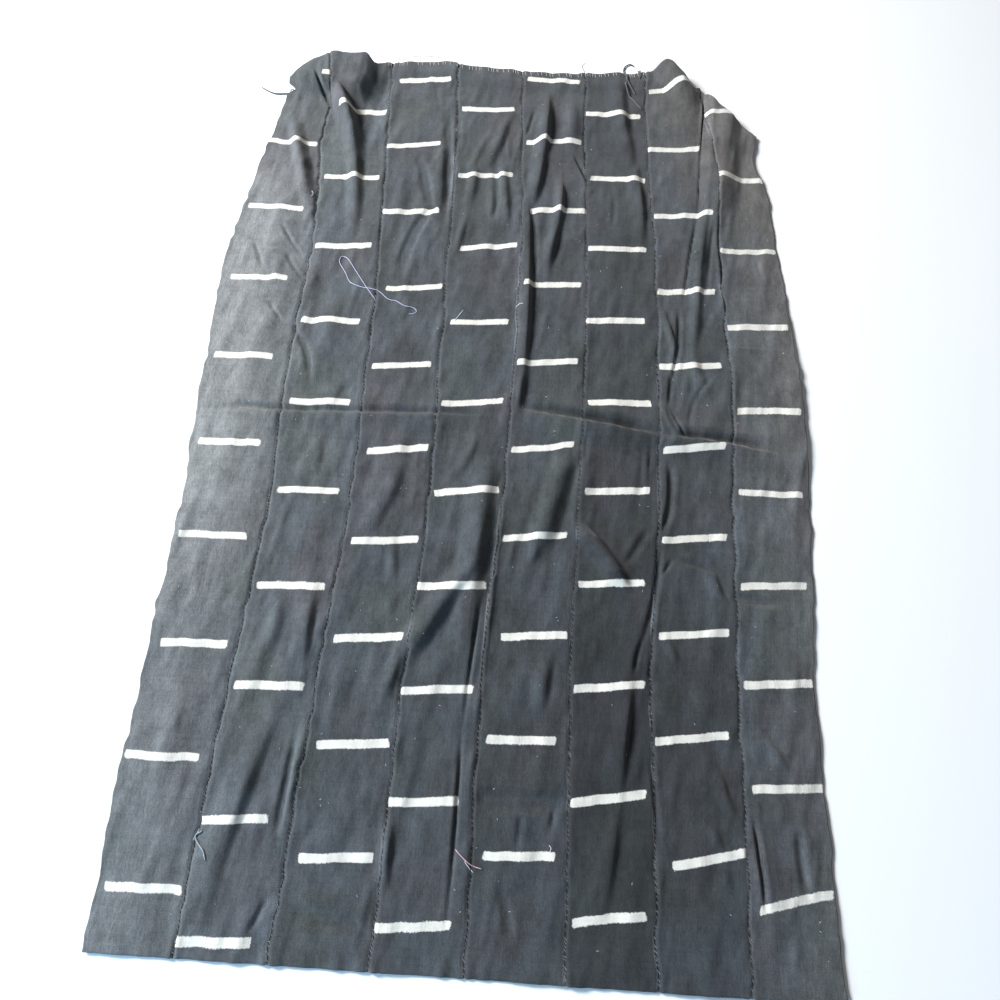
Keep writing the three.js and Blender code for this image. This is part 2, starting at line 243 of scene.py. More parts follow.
# Folds down the cloth, by strip. Each row: top, foot, path across at top, middle and foot, height,
# share of its length at which it is highest, left flank, right flank, and for a flat crest its width.
# A groove has a height below 0.
downFolds = {
    "a": [
        (120, 470, -462, -411, -361, 15, 0.32, 20, 21), (396, 484, -442, -414, -380, -6, 0.5, 6, 7),
        (466, 532, -418, -400, -370, -6, 0.5, 6, 7), (440, 512, -485, -468, -452, -4, 0.5, 6, 7),
        (568, 616, -439, -420, -402, -4, 0.5, 6, 7), (604, 744, -396, -348, -340, -5, 0.5, 12, 9),
        (1264, 1310, -450, -450, -450, 2, 0.5, 12, 10), (1100, 1480, -446, -452, -462, 4, 0.5, 34, 34),
        (400, 640, -452, -428, -410, 3, 0.4, 30, 22),
    ],
    "b": [
        (-60, 280, -455, -357, -308, 28, 0.52, 36, 20), (130, 500, -350, -308, -304, 12, 0.35, 24, 16),
        (40, 150, -422, -396, -360, -8, 0.5, 8, 9),
        (520, 760, -310, -318, -326, 4.5, 0.5, 30, 26), (824, 902, -305, -302, -306, 4, 0.5, 16, 10),
        (1056, 1230, -279, -279, -279, 8, 0.5, 28, 12), (1080, 1200, -333, -327, -341, 6, 0.5, 20, 15),
        (1200, 1590, -290, -340, -372, 9.5, 0.5, 44, 17), (1280, 1456, -272, -276, -283, -6, 0.5, 10, 9),
        (1506, 1560, -280, -289, -303, -3, 0.5, 8, 8), (1260, 1500, -256, -270, -288, 3, 0.5, 20, 16),
    ],
    "c": [
        (32, 128, -176, -173, -160, -1.5, 0.5, 9, 8), (226, 374, -193, -172, -154, -7, 0.5, 18, 10),
        (330, 512, -148, -190, -204, -8, 0.5, 15, 15), (78, 424, -152, -134, -134, -5, 0.5, 18, 8),
        (170, 400, -156, -150, -146, 4, 0.5, 24, 16), (820, 1010, -165, -174, -222, 7, 0.5, 26, 16),
        (980, 1084, -167, -159, -155, 4.5, 0.5, 15, 11), (1160, 1250, -132, -141, -152, 5.5, 0.5, 15, 11),
    ],
    "d": [
        (92, 226, -128, -123, -118, -2, 0.5, 6, 8), (146, 290, -54, -81, -99, 3, 0.5, 12, 9),
        (92, 266, -30, -39, -69, 6.5, 0.5, 20, 12), (154, 252, -30, -23, -21, 2, 0.5, 7, 8),
        (216, 362, -94, -86, -99, 6.5, 0.5, 16, 13), (236, 384, -49, -40, -43, -8, 0.5, 8, 10),
        (204, 418, -34, -24, -11, 6, 0.5, 14, 12), (352, 462, -90, -100, -107, 4, 0.5, 12, 9),
        (784, 908, -46, -52, -88, 4.5, 0.5, 18, 11), (780, 1240, -17, -29, -40, 15, 0.42, 38, 25),
        (860, 1300, 11, -2, -13, 3.5, 0.5, 5, 9), (1068, 1292, -15, -24, -30, -4, 0.5, 6, 5),
        (1010, 1200, -26, -84, -134, 14, 0.5, 34, 24, 2), (1252, 1562, -32, -30, -34, -4.5, 0.5, 6, 5),
        (1256, 1572, -19, -15, -21, 3.5, 0.5, 14, 20), (1376, 1512, -122, -123, -119, 7, 0.5, 18, 10),
    ],
    "e": [
        (20, 292, 41, 48, 33, 16, 0.5, 26, 14), (30, 240, 90, 97, 92, 10, 0.5, 20, 26),
        (96, 176, 25, 18, 9, -3.5, 0.5, 8, 8), (190, 370, 40, 38, 15, 11, 0.5, 24, 13),
        (210, 284, 103, 120, 137, -7, 0.5, 6, 8), (250, 400, 75, 82, 74, 11, 0.5, 15, 11),
        (330, 510, 84, 70, 57, 12, 0.5, 20, 12), (310, 520, 24, 36, 37, -6, 0.5, 8, 11),
        (300, 830, 11, 30, 17, 12, 0.5, 26, 12), (688, 772, 27, 25, 21, 5, 0.5, 8, 10),
        (790, 1040, 122, 90, 62, 11, 0.5, 30, 24, 2), (988, 1030, 69, 63, 58, 3.5, 0.5, 14, 8),
        (1140, 1266, 98, 85, 84, 9, 0.5, 24, 14), (1350, 1412, 108, 107, 104, -3, 0.5, 8, 7),
        (1378, 1440, 62, 60, 56, -3, 0.5, 8, 7), (1472, 1556, 37, 49, 57, -3, 0.5, 12, 9),
    ],
    "f": [
        (-60, 290, 186, 195, 228, 11, 0.5, 34, 20), (204, 440, 216, 232, 234, 10, 0.5, 24, 13),
        (274, 388, 176, 184, 177, -2, 0.5, 8, 8), (790, 860, 139, 140, 136, -2, 0.5, 8, 9),
        (794, 908, 243, 240, 240, 3.5, 0.5, 8, 7), (944, 1066, 126, 174, 216, 16, 0.5, 34, 13, 2),
        (950, 1030, 248, 226, 200, -4, 0.5, 14, 12), (950, 1160, 260, 255, 226, -4, 0.5, 9, 8),
        (1124, 1192, 236, 226, 221, -4, 0.5, 8, 6), (1170, 1380, 218, 206, 198, 8.5, 0.5, 28, 10),
        (1340, 1520, 202, 190, 178, 5, 0.5, 20, 9), (1128, 1176, 169, 162, 157, 2, 0.5, 12, 9),
        (1294, 1440, 242, 252, 256, -2.5, 0.5, 6, 8), (980, 1400, 246, 214, 190, 2.5, 0.45, 28, 18),
    ],
    "g": [
        (-60, 180, 239, 323, 318, 28, 0.17, 38, 38), (7, 383, 362, 351, 338, -5, 0.5, 5, 4),
        (320, 554, 345, 323, 308, -5, 0.5, 6, 5), (534, 722, 300, 297, 281, -7, 0.5, 7, 6),
        (530, 660, 267, 283, 299, 6, 0.5, 10, 7), (-120, 480, 385, 368, 344, 19, 0.42, 18, 52, 18),
        (300, 740, 352, 332, 312, 9, 0.3, 14, 14), (348, 618, 375, 375, 394, 3, 0.5, 6, 6),
        (332, 522, 372, 360, 350, -3, 0.5, 8, 7), (626, 732, 310, 333, 340, 5, 0.5, 18, 16),
        (660, 746, 285, 282, 279, -3, 0.5, 6, 7), (736, 804, 271, 278, 300, 4, 0.5, 7, 5),
        (746, 798, 282, 293, 307, -4.5, 0.5, 4, 6), (656, 804, 375, 323, 317, -2.5, 0.5, 8, 7),
        (824, 982, 275, 280, 258, -6, 0.5, 10, 10), (1000, 1034, 283, 273, 261, -3, 0.5, 6, 7),
        (1004, 1082, 345, 347, 373, 6, 0.5, 18, 11), (1118, 1176, 267, 278, 294, 4, 0.5, 15, 9),
        (1296, 1380, 336, 347, 365, 5.5, 0.5, 20, 10), (1378, 1424, 324, 336, 346, 3.5, 0.5, 14, 9),
        (1424, 1476, 342, 348, 352, 2, 0.5, 16, 9),
    ],
    "h": [
        (428, 484, 445, 449, 455, -1.5, 0.5, 5, 6), (1250, 1318, 403, 424, 443, 5, 0.5, 20, 12),
        (1360, 1500, 387, 394, 401, -6, 0.5, 6, 7), (1366, 1480, 453, 454, 460, -5, 0.5, 14, 10),
        (1320, 1530, 388, 398, 408, 4, 0.5, 20, 26),
    ],
}

# Folds across the cloth: from, to, path down at left, middle and right, height, peak, upper and lower flank.
crossFolds = [
    (-640, 200, 790, 781, 764, 3.5, 0.5, 50, 44), (-60, 640, 770, 792, 838, 7.5, 0.5, 64, 50),
    (-473, -370, 779, 780, 784, -3, 0.5, 11, 4), (-572, 40, 789, 780, 768, -5, 0.5, 12, 5),
    (0, 300, 753, 773, 799, -10, 0.5, 20, 5), (252, 480, 794, 798, 819, -9, 0.5, 18, 5),
    (380, 473, 618, 621, 620, 2.0, 0.5, 5, 5), (368, 453, 1062, 1066, 1070, -5, 0.5, 15, 7),
    (288, 356, 1005, 1013, 1024, -5, 0.5, 10, 7), (-20, 136, 1372, 1373, 1369, -8, 0.5, 24, 14),
    (-260, -125, 1524, 1537, 1544, -6, 0.5, 20, 10), (-511, -413, 425, 453, 457, -3, 0.5, 6, 6),
    (160, 250, 985, 1018, 1050, 2.5, 0.5, 20, 20),
]
# A groove's low banks: how many flanks they reach, and their share of its depth. Grooves and flat crests
# keep their height longer by the evenness. Folds past the spare distance from a strip are passed over.
bank = {"reach": 2.4, "share": 0.35, "evenness": 1.6, "spare": 40}

# Uneven rise and fall of the cloth: size across, size down and height of each layer of it.
creaseNoise = [(62.0, 340.0, 3.0), (27.0, 110.0, 3.8), (14.0, 44.0, 2.3), (8.0, 20.0, 0.9)]


def halfCosine(q):
    return np.where(np.abs(q) < 1, 0.5 + 0.5 * np.cos(np.pi * np.clip(q, -1, 1)), 0.0)


noiseFields = {}
noiseCells = 256


def smoothNoise(x, y, seed):
    # value noise on a whole-number grid, from -1 to 1; what callers add to x and y only sets
    # one line, fold or dash apart from the next
    if seed not in noiseFields:
        noiseFields[seed] = np.random.default_rng(seed).uniform(-1, 1, (noiseCells, noiseCells))
    field = noiseFields[seed]
    x, y = np.broadcast_arrays(x, y)
    x0, y0 = np.floor(x).astype(int), np.floor(y).astype(int)
    u, v = x - x0, y - y0
    u, v = u * u * (3 - 2 * u), v * v * (3 - 2 * v)
    i, j = x0 % noiseCells, y0 % noiseCells
    i1, j1 = (x0 + 1) % noiseCells, (y0 + 1) % noiseCells
    top = field[i, j] * (1 - u) + field[i1, j] * u
    low = field[i, j1] * (1 - u) + field[i1, j1] * u
    return top * (1 - v) + low * v


def throughStations(values, at):
    # smooth curve through the values at the stations
    knots = np.array(stations, float)
    values = np.array(values, float)
    i = np.clip(np.searchsorted(knots, at, side="left") - 1, 0, len(knots) - 2)
    slopes = np.zeros(len(knots))
    for k in range(len(knots)):
        before, after = max(k - 1, 0), min(k + 1, len(knots) - 1)
        slopes[k] = (values[after] - values[before]) / (knots[after] - knots[before])
    span = knots[i + 1] - knots[i]
    u = np.clip((at - knots[i]) / span, 0, 1)
    rest = 1 - u
    return (values[i] * (1 + 2 * u) * rest ** 2 + values[i + 1] * u ** 2 * (3 - 2 * u)
            + slopes[i] * span * u * rest ** 2 - slopes[i + 1] * span * u ** 2 * rest)


def along(start, middle, end, share):
    # parabola through a path's start, middle and end
    bow = 4 * (middle - (start + end) / 2)
    return start + (end - start) * share + bow * share * (1 - share)


def foldHeight(fold, lengthways, sideways):
    start, end, first, middle, last, height, peak, low, high = fold[:9]
    flat = fold[9] if len(fold) > 9 else 0.0
    share = (lengthways - start) / (end - start)
    side = np.where(share < peak, peak, 1 - peak)
    crest = halfCosine((share - peak) / side)
    crest = np.where((share <= 0) | (share >= 1), 0.0, crest)
    if flat > 0 or height < 0:
        crest = np.minimum(bank["evenness"] * crest, 1)
    offset = sideways - along(first, middle, last, share)
    offset = np.where(offset > 0, np.maximum(offset - flat * crest, 0), offset)
    across = offset / np.where(offset < 0, low, high)
    if height > 0:
        return height * crest * halfCosine(across)
    # a groove has low banks
    swell = halfCosine(offset / (bank["reach"] * max(low, high)))
    return height * crest * ((1 + bank["share"]) * halfCosine(across) - bank["share"] * swell)


def foldsOver(folds, lengthways, sideways):
    # folds that don't reach these points are passed over
    height = np.zeros(np.broadcast(lengthways, sideways).shape)
    low, high = sideways.min(), sideways.max()
    for fold in folds:
        reach = bank["reach"] * max(fold[7:9]) + bank["spare"]
        if min(fold[2:5]) - reach < high and max(fold[2:5]) + reach > low:
            height = height + foldHeight(fold, lengthways, sideways)
    return height


def hoodHeight(across, down):
    edge = np.interp(across, hood["across"], hood["edge"])
    lean = hood["lean"] * np.maximum(down - hood["leanFrom"], 0)
    height = np.interp(across + lean, hood["across"], hood["height"], left=0)
    return height * np.where(down > edge, halfCosine((down - edge) / hood["fade"]), 1.0)


def relief(across, down):
    # height of the folds above the resting cloth; the bunch and the hood over it are one form
    across, down = np.broadcast_arrays(across, down)
    height = np.zeros(across.shape)
    if across.size == 0:
        return height
    bunch = foldHeight(downFolds["b"][0], down, across)
    for key, folds in downFolds.items():
        height = height + foldsOver(folds[1:] if key == "b" else folds, down, across)
    return height + foldsOver(crossFolds, across, down) + np.maximum(bunch, hoodHeight(across, down))


def creases(across, down):
    height = np.zeros(np.broadcast(across, down).shape)
    for seed, (wide, long, size) in enumerate(creaseNoise):
        slant = across + sheet["creaseSlant"] * down
        field = smoothNoise(slant / wide + 9, down / long + 3, seeds["creases"] + seed)
        height = height + size * (0.5 + 0.5 * field) ** 2
    return height


def topOf(across):
    steps = (-topSoften, 0, topSoften)
    return sum(np.interp(across + step, topFold[:, 0], topFold[:, 1]) for step in steps) / len(steps)


def underOf(across):
    return np.interp(across, topFold[:, 0], topFold[:, 2])


def lineAt(k, down):
    # across position of selvedge or seam k, counted from the left selvedge
    slow = smoothNoise(down / sheet["wanderPitch"] + 11 * k, 3.7 * k, seeds["wander"])
    quick = smoothNoise(down / sheet["smallWanderPitch"] + 5 * k, 1.9 * k, seeds["smallWander"])
    wander = sheet["wander"] * slow + sheet["smallWander"] * quick
    shift = sum(size * halfCosine((down - middle) / reach)
                for line, middle, reach, size in notches if line == k)
    return throughStations(lines[k], down) + wander + shift


def acrossAt(place, down):
    # place counts strips from the left selvedge
    place, down = np.broadcast_arrays(np.asarray(place, float), np.asarray(down, float))
    strip = np.clip(np.floor(place), 0, stripCount - 1).astype(int)
    across = np.zeros(place.shape)
    for k in np.unique(strip):
        here = strip == k
        left, right = lineAt(k, down[here]), lineAt(k + 1, down[here])
        across[here] = left + (right - left) * (place[here] - k)
    return across


def layerLift(across, down):
    # the main layer rides over the layer turned under it
    beyond = down - topOf(across) - underOf(across) - sheet["liftReach"]
    for x, y, reach in cornerPatches:
        beyond = np.minimum(beyond, np.hypot(across - x, down - y) - reach)
    lift = np.where(beyond > 0, halfCosine(beyond / sheet["liftFade"]), 1.0)
    near = lift > 0
    a, d, step = across[near], down[near], sheet["slopeStep"]
    here = relief(a, d)
    slopes = [(relief(a + step, d) - here) / step, (relief(a, d + step) - here) / step]
    lift[near] *= np.sqrt(1 + slopes[0] ** 2 + slopes[1] ** 2)
    return sheet["hemLift"] * lift


def seamShape(place, down):
    # each strip turns down at its seams, and the stitches draw small puckers beside them
    nearest = np.round(place)
    away = np.abs(place - nearest) * sheet["stripWidth"]
    inner = (nearest > 0) & (nearest < stripCount)
    dip = -sheet["seamDip"] * halfCosine(away / sheet["seamWidth"])
    drawn = sheet["pucker"] * halfCosine((away - sheet["puckerFrom"]) / sheet["puckerWidth"])
    each = smoothNoise(down / sheet["puckerPitch"] + 31 * nearest, nearest * 2.3, seeds["pucker"])
    run = smoothNoise(down / sheet["puckerRun"] + 17 * nearest, nearest * 5.1, seeds["puckerRun"])
    drawn = drawn * (0.5 + 0.5 * each) * (0.6 + 0.4 * run)
    return np.where(inner, dip + drawn, 0.0)


def mainPoints(place, down):
    across = acrossAt(place, down)
    place, down = np.broadcast_arrays(place, down + 0 * across)
    lie = sheet["thickness"] / 2 + relief(across, down) + creases(across, down) + seamShape(place, down)
    return across, down, np.maximum(lie, sheet["lowest"]) + layerLift(across, down)


def underPoints(place, share):
    # the layer turned under the top, at a share of its depth from the fold line
    edge = acrossAt(place, 0)
    start = topOf(edge)
    step = sheet["slopeStep"]
    slope = (topOf(edge + step) - topOf(edge - step)) / (2 * step)
    scale = share * underOf(edge) / np.hypot(1, slope)
    across = acrossAt(place, start) - slope * scale
    down = start + scale
    return across, down, np.maximum(sheet["thickness"] / 2 + relief(across, down), sheet["lowest"])


def sheetGrid(place):
    # the strip's middle surface: turned-under layer, bend, and the main part down to the foot
    place = place[None, :]
    start = topOf(acrossAt(place, 0))
    under = underPoints(place, np.linspace(1, 0, sheet["underRows"])[:, None])
    low = under[2][-1:]
    across, down, high = mainPoints(place, start)
    angle = math.pi * np.linspace(0, 1, sheet["bendRows"] + 2)[1:-1, None]
    bend = (across + 0 * angle, start - np.sin(angle) * (high - low) / 2,
            low + (high - low) * (1 - np.cos(angle)) / 2)
    distance = np.linspace(0, sheet["length"], int(sheet["length"] / sheet["rowStep"]) + 1)[:, None]
    main = mainPoints(place, distance + start * np.maximum(1 - distance / sheet["openingReach"], 0))
    return [np.concatenate([under[i], bend[i], main[i]]) for i in range(3)]


# The dashes

# By strip, fitted to the dashes' places as read in the photo: distance down of the first dash, pitch,
# growth of the pitch, and inset from the strip's middle.
dashRows = [
    (58.8, 153.1, 0.9, -7), (135.3, 155.7, 0.4, -3), (44.1, 163.4, -0.7, 1), (107.4, 163.8, -0.6, -3),
    (16.8, 166.2, -0.9, -2), (107.1, 159.5, -0.4, -5), (21.0, 162.7, -0.8, -4), (91.9, 165.4, -1.3, 1),
]
# How far each dash rises to the right, from the top of its strip to the foot.
dashTilts = [
    (0.02, -0.08, -0.04, 0.03, 0.02, 0.02, 0.02, 0.02, 0.02, 0.02),
    (0.03, 0.03, 0.04, 0.03, 0.03, 0.02, 0.03, 0.04, 0.09, 0.03),
    (0.09, 0.16, 0.08, 0.12, 0.11, 0.12, 0.09, 0.08, 0.08, 0.08),
    (0.05, 0.10, 0.11, 0.07, 0.125, 0.10, 0.06, 0.08, 0.08, 0.08),
    (-0.03, 0.05, 0.06, 0.07, 0.10, 0.145, 0.105, 0.09, 0.05, 0.045),
    (0.01, 0.01, 0.04, 0.06, 0.06, 0.08, 0.08, 0.13, 0.16, 0.15),
    (0.17, 0.06, 0.06, 0.06, 0.09, 0.12, 0.115, 0.12, 0.14, 0.23),
    (0.06, 0.02, 0.06, 0.06, 0.03, 0.0, 0.075, 0.08, 0.07, 0.24),
]
# Dashes out of line: strip, number from the top, shift across, shift down, and rise of the middle.
strayDashes = [
    (0, 0, 52, 2, 0.0), (0, 7, 8, 4, 0.5), (0, 9, 10, 0, 0.5),
    (1, 0, 13, -7, 0.0), (1, 7, 0, -10, 0.5), (1, 8, -20, 10, 0.5), (1, 9, -12, 0, -0.5),
    (2, 1, -15, 0, 0.5), (2, 2, -12, -4, 0.0), (2, 3, 6, 0, -1.6),
    (3, 0, 0, 0, -2.2), (3, 2, 9, 0, 0.5), (3, 6, 0, 0, -1.5), (3, 8, -10, 0, -0.5), (3, 9, -8, 0, -0.5),
    (4, 0, 0, 13, 0.5), (4, 2, 10, 0, 0.5), (4, 5, 0, 0, -1.8), (4, 7, 10, 0, 0.5),
    (5, 1, 6, 0, -0.5), (5, 3, -7, -4, 0.5),
    (6, 0, 7, 13, -1.0), (6, 1, -8, 0, -2.2), (6, 2, 0, -1, 0.0), (6, 3, 0, 6, -0.5), (6, 9, 16, 8, -0.8),
    (7, 0, -14, 16, 1.0), (7, 4, 0, 7, 2.2), (7, 8, 6, 0, 0.5), (7, 9, 5, 0, 2.5),
]
dashShape = {
    "count": 10, "length": 104.0, "lengthSpread": 4.0, "depthTop": 10.8, "depthFoot": 12.2,
    "depthSpread": 0.8, "acrossSpread": 3.0, "downSpread": 1.5, "round": 1.6,
    "bow": 0.9, "wave": 0.9, "wavePitch": 17.0, "endSlant": 0.22, "far": 25.0,
}
# Half length of the dashes that a fold partly hides.
hiddenHalf = {(0, 0): 17.0, (1, 0): 45.0}


def stripDashes(k):
    # centre across, centre down, half length, half depth, tilt, rise and end slant of each dash
    random = np.random.default_rng(seeds["dashes"] + k)
    first, pitch, growth, inset = dashRows[k]
    found = []
    for n in range(dashShape["count"]):
        spread = random.uniform(-1, 1, 6)
        down = first + pitch * n + growth * n * n + dashShape["downSpread"] * spread[0]
        stray = [row for row in strayDashes if row[:2] == (k, n)]
        shift = stray[0][2] if stray else dashShape["acrossSpread"] * spread[1]
        rise = stray[0][4] if stray else dashShape["bow"] * spread[2]
        down += stray[0][3] if stray else 0
        middle = float(acrossAt(np.array([k + 0.5]), np.array([down]))[0])
        half = dashShape["length"] / 2 + dashShape["lengthSpread"] / 2 * spread[3]
        half = hiddenHalf.get((k, n), half)
        depth = np.interp(down, (0, sheet["length"]), (dashShape["depthTop"], dashShape["depthFoot"]))
        depth = (depth + dashShape["depthSpread"] * spread[4]) / 2
        found.append((middle + inset + shift, down, half, depth, dashTilts[k][n], rise, spread[5]))
    return found


def dashDistance(k, across, down):
    # distance to the nearest dash's outline, below 0 inside it
    nearest = np.full(across.shape, dashShape["far"])
    for n, (x, y, half, depth, tilt, rise, slant) in enumerate(stripDashes(k)):
        dx = across - x
        bow = rise * (1 - (dx / half) ** 2)
        wave = smoothNoise(dx / dashShape["wavePitch"] + 40, 7.0 * n + 3.1 * k, seeds["dashWave"])
        dy = down - y + tilt * dx + bow + dashShape["wave"] * wave
        outX = np.abs(dx + dashShape["endSlant"] * slant * dy) - half + dashShape["round"]
        outY = np.abs(dy) - depth + dashShape["round"]
        away = np.hypot(np.maximum(outX, 0), np.maximum(outY, 0)) + np.minimum(np.maximum(outX, outY), 0)
        nearest = np.minimum(nearest, away - dashShape["round"])
    return nearest


# Cloth finish

clothFinish = {
    "dark": (0.052, 0.056, 0.058), "cool": (0.060, 0.067, 0.074), "green": (0.062, 0.069, 0.062),
    "plum": (0.070, 0.063, 0.067), "paintedGlare": (0.215, 0.218, 0.215), "paintedWarmHaze": (0.105, 0.088, 0.076),
    "pale": (0.20, 0.21, 0.225), "cream": (0.80, 0.76, 0.68), "creamShade": (0.44, 0.42, 0.38),
    "yarnPitch": 1.3, "creamYarns": (0.3, 0.25, 0.45), "creamGrain": (0.45, 0.6, 0.45),
    "rough": 0.93, "sheen": 0.25, "sheenRough": 0.5, "specular": 0.25, "weaveBump": 0.5, "weaveDepth": 0.0008,
    "leftGlare": 0.9, "rightHaze": 0.75, "weftOpen": 1.15, "yarnUneven": 6.0, "creamCover": 0.97,
    "coolRange": (0.36, 0.62), "tintRange": (0.50, 0.64), "tintDepth": 0.45, "creamRange": (0.22, 0.92),
    "lightnessFrom": 1.25, "contrast": 0.80, "maskRange": (-0.8, 0.7), "wornDepth": 0.8,
    "wornFrom": (0.6, 1.6), "wornTo": (2.8, 4.6), "wornGrain": (0.34, 0.54), "wornPatches": (0.32, 0.58),
    "seamShadeRight": (0.3, 2.6), "seamShadeRightLeast": 0.22, "seamShadeLeft": (0.1, 1.0), "seamShadeLeftLeast": 0.35,
}
# Noises of yarn and dye: scale across, scale down, detail, roughness, and a shift that sets each apart.
noises = {
    "warpUneven": (90, 9, 1.0, 0.5, 2.0), "weftUneven": (9, 90, 1.0, 0.5, 5.0),
    "streak": (420, 9, 2.0, 0.6, 0.0), "longStreak": (130, 4, 2.0, 0.55, 8.0),
    "weftStreak": (8, 260, 2.0, 0.5, 3.0), "slub": (330, 120, 2.0, 0.6, 29.0),
    "cloud": (46, 24, 4.0, 0.62, 11.0), "blotch": (13, 8, 3.0, 0.55, 13.0),
    "tint": (7, 5, 2.0, 0.5, 17.0), "grain": (760, 760, 1.0, 0.5, 23.0),
}
# How much each noise lightens the cloth, how the yarns and the grain shade it (least and share), and how
# much each frays the dashes and raises the bump.
lightening = {"streak": 0.5, "longStreak": 0.5, "weftStreak": 0.5, "slub": 1.3, "cloud": 2.0, "blotch": 0.6}
shading = {"warp": (0.84, 0.20), "weft": (0.90, 0.12), "grain": (0.15, 1.70)}
fraying = {"streak": 3.4, "weftStreak": 3.0, "grain": 3.2}
raising = {
    "warp": 0.5, "weft": 0.35, "streak": 0.5, "slub": 1.2, "grain": 0.6, "cloud": 0.8, "dashMask": 0.35,
}


def clothMaterial(finish):
    material, wire = startMaterial("dyedCotton")
    at = wire.node("ShaderNodeUVMap", {"uv_map": "sheet"})
    parts = wire.node("ShaderNodeSeparateXYZ", {}, {0: at})
    acrossYarn, downYarn = parts.output(0), parts.output(1)
    dash, leftSeam, rightSeam, left, right, dye = [
        wire.node("ShaderNodeAttribute", {"attribute_name": name}, output=2)
        for name in ("dash", "leftSeam", "rightSeam", "leftGlare", "rightHaze", "dye")]

    def speckle(name):
        scaleAcross, scaleDown, detail, roughness, shift = noises[name]
        place = wire.node("ShaderNodeCombineXYZ", {},
                          {0: acrossYarn * scaleAcross, 1: downYarn * scaleDown, 2: shift})
        return wire.node("ShaderNodeTexNoise", {"noise_dimensions": "3D"},
                         {"Vector": place, "Scale": 1.0, "Detail": detail, "Roughness": roughness})

    def tone(color):
        return (*finish[color], 1.0)

    found = {name: speckle(name) for name in noises}
    blotch, tint, grain = found["blotch"], found["tint"], found["grain"]

    # yarns: warp runs down the strip, weft across, both a little uneven
    turn = 2 * math.pi
    warpTurn = turn / (finish["yarnPitch"] * mm)
    weftTurn = turn / (finish["yarnPitch"] * mm * finish["weftOpen"])
    warp = (acrossYarn * warpTurn + found["warpUneven"] * finish["yarnUneven"]).wave() * 0.5 + 0.5
    weft = (downYarn * weftTurn + found["weftUneven"] * finish["yarnUneven"]).wave() * 0.5 + 0.5

    # dye: cool, green and plum clouds on a dark ground; painted window glare lightens the left and a painted
    # warm haze the right
    ground = blotch.soft(*finish["coolRange"]).mixed(tone("dark"), tone("cool"))
    ground = (tint.soft(*finish["tintRange"]) * finish["tintDepth"]).mixed(ground, tone("green"))
    ground = ((1 - tint).soft(*finish["tintRange"]) * finish["tintDepth"]).mixed(ground, tone("plum"))
    # painted window glare: the left strips mixed toward a pale grey
    ground = (left * finish["leftGlare"]).mixed(ground, tone("paintedGlare"))
    # painted warm haze: the right strips mixed toward a lighter brown
    ground = (right * finish["rightHaze"]).mixed(ground, tone("paintedWarmHaze"))
    lightness = sum(found[name] * size for name, size in lightening.items())
    lightness = (lightness - finish["lightnessFrom"]) * finish["contrast"] * dye
    found.update({"warp": warp, "weft": weft})
    for name, (least, share) in shading.items():
        lightness = lightness * (least + found[name] * share)

    # painted shade: a dark line in the seam, where the step between strips falls in shadow; then a pale worn
    # edge on its left side, partly a painted highlight where the raised edge catches the light
    for seam, side in ((leftSeam, "seamShadeRight"), (rightSeam, "seamShadeLeft")):
        least = finish[side + "Least"]
        lightness = lightness * (least + (1 - least) * seam.soft(*finish[side]))
    shade = wire.node("ShaderNodeCombineColor", {}, {0: lightness, 1: lightness, 2: lightness})
    ground = wire.node("ShaderNodeMix", {"data_type": "RGBA", "blend_type": "MULTIPLY"},
                       {0: 1.0, 6: ground, 7: shade}, output=2)
    # pale band left of each seam: worn yarn, and partly a painted highlight on the raised seam edge
    worn = rightSeam.soft(*finish["wornFrom"]) * (1 - rightSeam.soft(*finish["wornTo"]))
    worn = worn * grain.soft(*finish["wornGrain"]) * blotch.soft(*finish["wornPatches"])
    ground = (worn * finish["wornDepth"]).mixed(ground, tone("pale"))

    # the dashes, frayed at their edges by the yarns
    edge = dash
    for name, size in fraying.items():
        edge = edge + (found[name] - 0.5) * size
    mask = 1 - edge.soft(*finish["maskRange"])
    weftShare, warpShare, yarnLeast = finish["creamYarns"]
    grainLeast, grainShare, streakShare = finish["creamGrain"]
    thread = weft * weftShare + warp * warpShare + yarnLeast
    thread = thread * (grainLeast + grain * grainShare + found["weftStreak"] * streakShare)
    cream = thread.soft(*finish["creamRange"]).mixed(tone("creamShade"), tone("cream"))
    color = (mask * finish["creamCover"]).mixed(ground, cream)

    found["dashMask"] = mask
    height = sum(found[name] * size for name, size in raising.items())
    bump = wire.node("ShaderNodeBump", {}, {"Strength": finish["weaveBump"], "Distance": finish["weaveDepth"],
                                            "Height": height})
    endMaterial(wire, {"Roughness": finish["rough"], "Sheen Weight": finish["sheen"],
                       "Sheen Roughness": finish["sheenRough"], "Specular IOR Level": finish["specular"]},
                {"Base Color": color, "Normal": bump})
    return material


